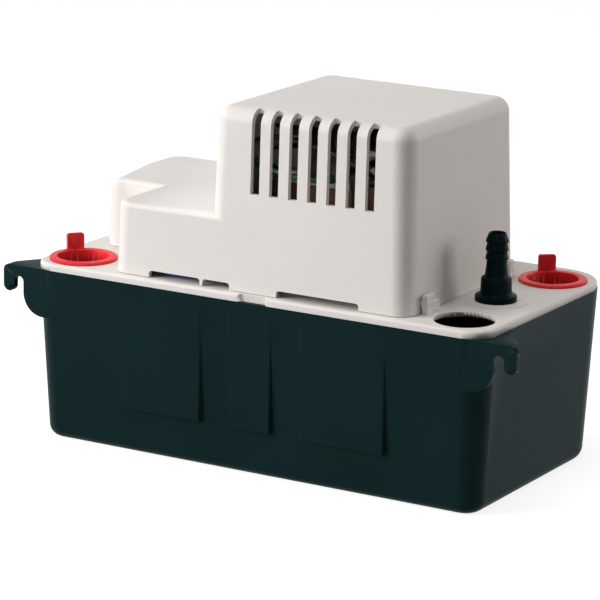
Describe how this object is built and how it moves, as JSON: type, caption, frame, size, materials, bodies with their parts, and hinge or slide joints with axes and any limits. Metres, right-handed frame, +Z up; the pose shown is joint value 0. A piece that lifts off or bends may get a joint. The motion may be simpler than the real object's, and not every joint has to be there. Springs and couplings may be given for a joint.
{
  "type": "condensate pump",
  "caption": "Tank with a float-switched pump under a vented hood; collects condensate water and lifts it through a hose barb.",
  "frame": {"origin": "middle of the tank's base, on the surface it stands on", "axes": "+X towards the end with two inlets and the hose barb, -Y towards the front with the vent slots and wall hooks, +Z up"},
  "size_m": [0.2794, 0.134, 0.1745],
  "materials": {
    "tank_plastic": "fine texture, dark blue-green",
    "cover_plastic": "satin off-white",
    "plug_plastic": "satin red",
    "barb_plastic": "satin black",
    "valve_plastic": "satin dark grey",
    "ball_steel": "polished",
    "lamination_steel": "brown varnish on stacked sheets",
    "ring_copper": "bare copper",
    "bobbin_nylon": "natural nylon",
    "coil_tape": "black tape over wound wire",
    "rotor_metal": "turned, cast end rings",
    "shaft_steel": "ground",
    "fan_plastic": "satin black",
    "bracket_metal": "die cast",
    "bearing_bronze": "sintered bronze",
    "screw_steel": "zinc plated",
    "seal_rubber": "matte",
    "pump_plastic": "satin dark grey",
    "impeller_plastic": "natural white",
    "tube_vinyl": "soft milky tube",
    "float_foam": "closed-cell foam",
    "arm_plastic": "satin dark grey",
    "pin_steel": "bright",
    "rod_plastic": "natural white",
    "switch_plastic": "moulded black",
    "lever_steel": "bright strip",
    "button_plastic": "satin red",
    "splice_plastic": "blue sleeve",
    "wire_black": "insulation",
    "wire_white": "insulation",
    "wire_green": "insulation",
    "wire_blue": "insulation"
  },
  "bodies": {
    "tank": {"tank": "tank_plastic"},
    "head": {"lid": "cover_plastic", "discharge_barb": "barb_plastic", "check_valve_body": "valve_plastic", "stator_laminations": "lamination_steel", "shading_rings": "ring_copper", "coil_bobbin": "bobbin_nylon", "winding_coil": "coil_tape", "upper_bracket": "bracket_metal", "lower_bracket": "bracket_metal", "upper_bearing": "bearing_bronze", "lower_bearing": "bearing_bronze", "motor_screws": "screw_steel", "pump_column": "pump_plastic", "column_screws": "screw_steel", "volute_housing": "pump_plastic", "volute_screws": "screw_steel", "inlet_strainer": "pump_plastic", "discharge_tube": "tube_vinyl", "float_pin": "pin_steel", "switch_stand": "cover_plastic", "switch_screws": "screw_steel", "run_switch": "switch_plastic", "safety_switch": "switch_plastic", "cord_gland": "seal_rubber", "butt_splice": "splice_plastic", "line_wire": "wire_black", "link_wire": "wire_black", "neutral_wire": "wire_white", "ground_wire": "wire_green", "switch_wire": "wire_blue", "motor_wire": "wire_black"},
    "hood": {"motor_cover": "cover_plastic"},
    "rotor": {"rotor_core": "rotor_metal", "motor_shaft": "shaft_steel", "cooling_fan": "fan_plastic", "shaft_slinger": "seal_rubber", "impeller": "impeller_plastic"},
    "float": {"float_arm": "arm_plastic", "float": "float_foam"},
    "rod": {"push_rod": "rod_plastic"},
    "run_lever": {"run_switch_lever": "lever_steel"},
    "run_button": {"run_switch_button": "button_plastic"},
    "safety_lever": {"safety_switch_lever": "lever_steel"},
    "safety_button": {"safety_switch_button": "button_plastic"},
    "ball": {"check_valve_ball": "ball_steel"},
    "plug_left": {"inlet_plug_left": "plug_plastic"},
    "plug_right": {"inlet_plug_right": "plug_plastic"}
  },
  "joints": [
    {"name": "lid_lift", "type": "slide", "parent": "tank", "child": "head", "axis": [0, 0, 1], "range_m": [0, 0.09]},
    {"name": "hood_lift", "type": "slide", "parent": "head", "child": "hood", "axis": [0, 0, 1], "range_m": [0, 0.09]},
    {"name": "rotor_spin", "type": "hinge", "parent": "head", "child": "rotor", "pos_m": [0.018, -0.009, 0.125], "axis": [0, 0, 1], "continuous": true},
    {"name": "float_swing", "type": "hinge", "parent": "head", "child": "float", "pos_m": [-0.046, 0.004, 0.071], "axis": [0, 1, 0], "range_deg": [0, 20]},
    {"name": "push_rod_slide", "type": "slide", "parent": "head", "child": "rod", "axis": [0, 0, 1], "range_m": [0, 0.00566]},
    {"name": "run_lever_swing", "type": "hinge", "parent": "head", "child": "run_lever", "pos_m": [-0.041, -0.00175, 0.0955], "axis": [0, 1, 0], "range_deg": [0, 15.5]},
    {"name": "run_button_slide", "type": "slide", "parent": "head", "child": "run_button", "axis": [0, 0, 1], "range_m": [0, 0.00166]},
    {"name": "safety_lever_swing", "type": "hinge", "parent": "head", "child": "safety_lever", "pos_m": [-0.041, 0.00975, 0.0955], "axis": [0, 1, 0], "range_deg": [0, 15.5]},
    {"name": "safety_button_slide", "type": "slide", "parent": "head", "child": "safety_button", "axis": [0, 0, 1], "range_m": [0, 0.00166]},
    {"name": "check_ball_lift", "type": "slide", "parent": "head", "child": "ball", "axis": [0, 0, 1], "range_m": [0, 0.0035]},
    {"name": "left_plug_pull", "type": "slide", "parent": "head", "child": "plug_left", "axis": [0, 0, 1], "range_m": [0, 0.03]},
    {"name": "right_plug_pull", "type": "slide", "parent": "head", "child": "plug_right", "axis": [0, 0, 1], "range_m": [0, 0.03]}
  ],
  "couplings": [
    {"joint": "push_rod_slide", "follows": "float_swing", "m_per_rad": 0.016164},
    {"joint": "run_lever_swing", "follows": "float_swing", "ratio": 0.77207},
    {"joint": "safety_lever_swing", "follows": "float_swing", "ratio": 0.77207},
    {"joint": "run_button_slide", "follows": "float_swing", "m_per_rad": 0.004717},
    {"joint": "safety_button_slide", "follows": "float_swing", "m_per_rad": 0.004717}
  ]
}
